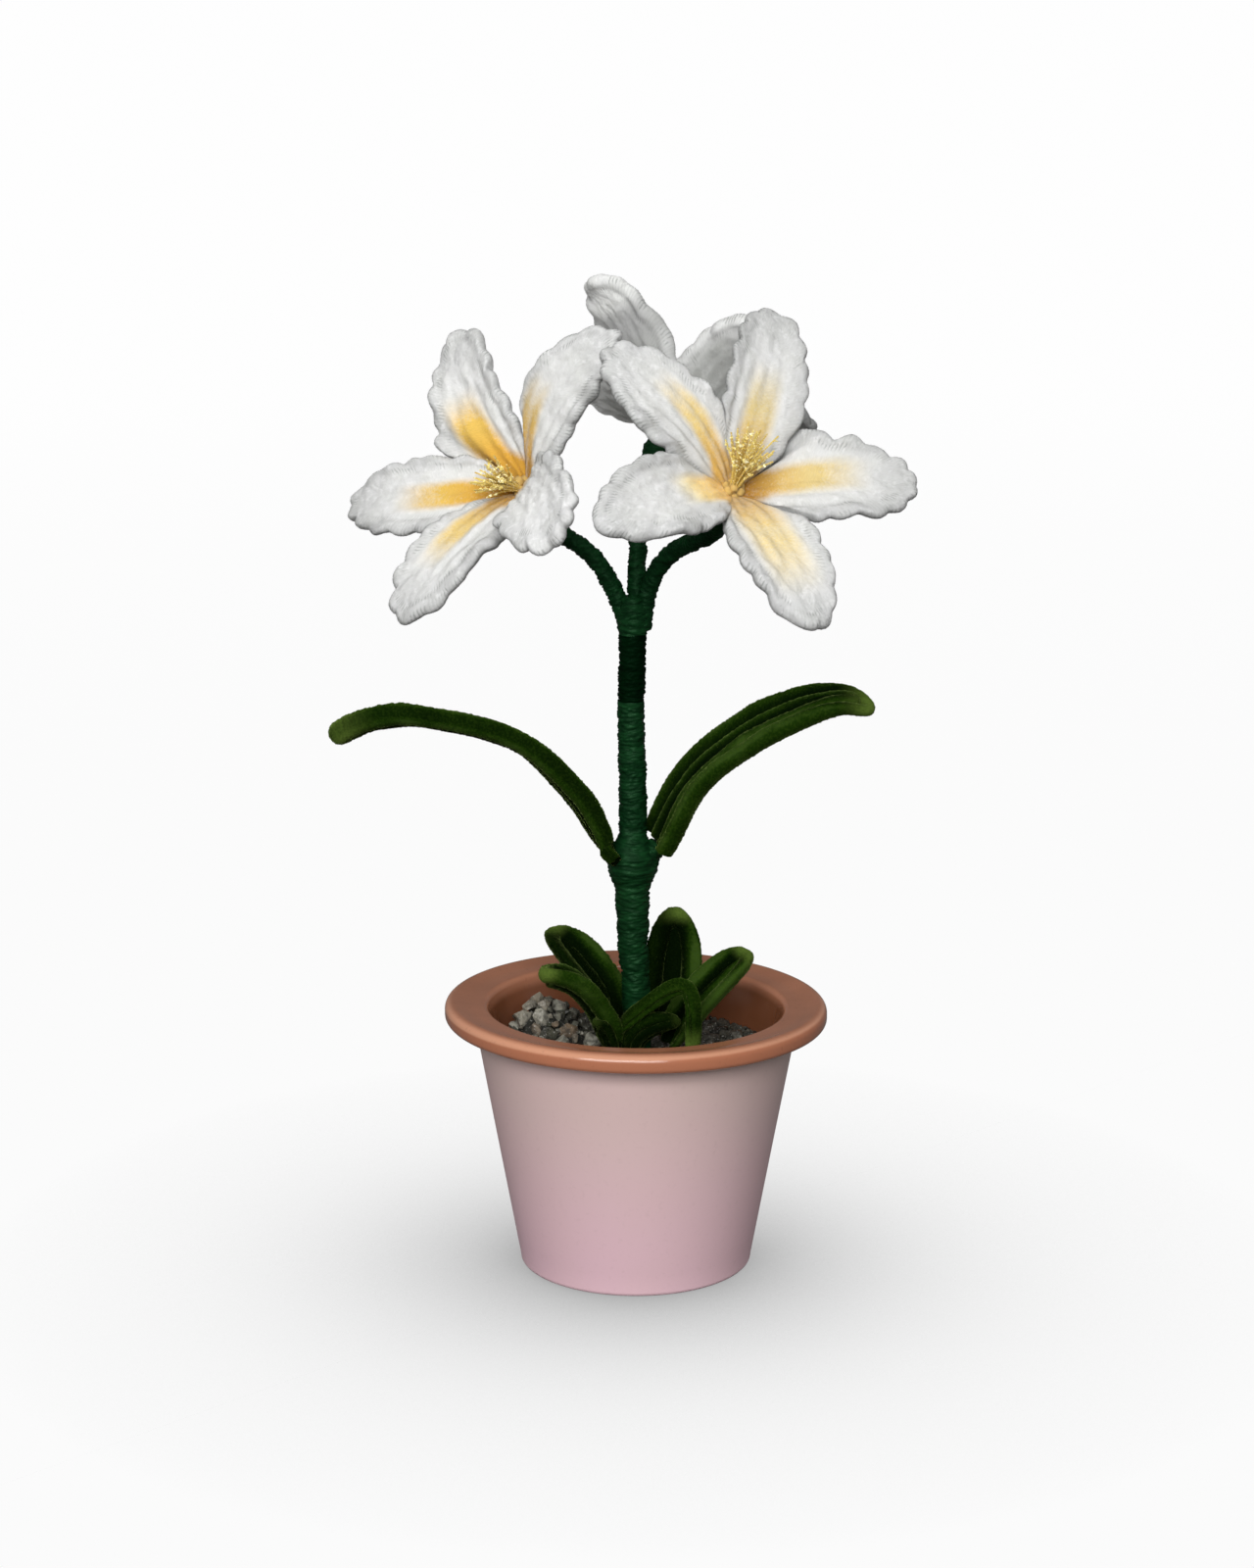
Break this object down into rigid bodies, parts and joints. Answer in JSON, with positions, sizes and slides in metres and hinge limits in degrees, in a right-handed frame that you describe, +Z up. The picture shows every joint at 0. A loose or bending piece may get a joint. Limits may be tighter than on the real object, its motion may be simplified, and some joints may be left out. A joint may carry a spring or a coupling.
{
  "type": "potted lily made of chenille stems",
  "caption": "Handmade white lily of chenille stems on a tape-wrapped branching stem, standing in gravel in a small two-tone ceramic pot",
  "frame": {"origin": "centre of the pot's flat underside", "axes": "+Z up along the pot's axis, the two open flowers face -Y, +X to the viewer's right"},
  "size_m": [0.1616, 0.1519, 0.2832],
  "materials": {
    "pot": "matte pink outside, glossy terracotta brown rim and inside",
    "foam": "open-cell foam",
    "gravel": "rough grey and brown stones",
    "stem_tape": "crinkled waxed paper tape",
    "petal": "white chenille, yellow along the middle",
    "stamen": "glittering gold",
    "leaf": "green chenille pile"
  },
  "bodies": {
    "root": {"pot": "pot", "foam_block": "foam", "gravel": "gravel", "stem": "stem_tape", "petal_left_1": "petal", "petal_left_2": "petal", "petal_left_3": "petal", "petal_left_4": "petal", "petal_left_5": "petal", "petal_right_1": "petal", "petal_right_2": "petal", "petal_right_3": "petal", "petal_right_4": "petal", "petal_right_5": "petal", "petal_back_1": "petal", "petal_back_2": "petal", "petal_back_3": "petal", "petal_back_4": "petal", "petal_back_5": "petal", "stamens_left": "stamen", "stamens_right": "stamen", "stamens_back": "stamen", "long_leaf_left": "leaf", "long_leaf_right": "leaf", "short_leaf_back_left": "leaf", "short_leaf_front_left": "leaf", "short_leaf_back_right": "leaf", "short_leaf_right": "leaf", "short_leaf_front_right": "leaf", "short_leaf_low_left": "leaf", "short_leaf_low_right": "leaf"}
  },
  "joints": []
}
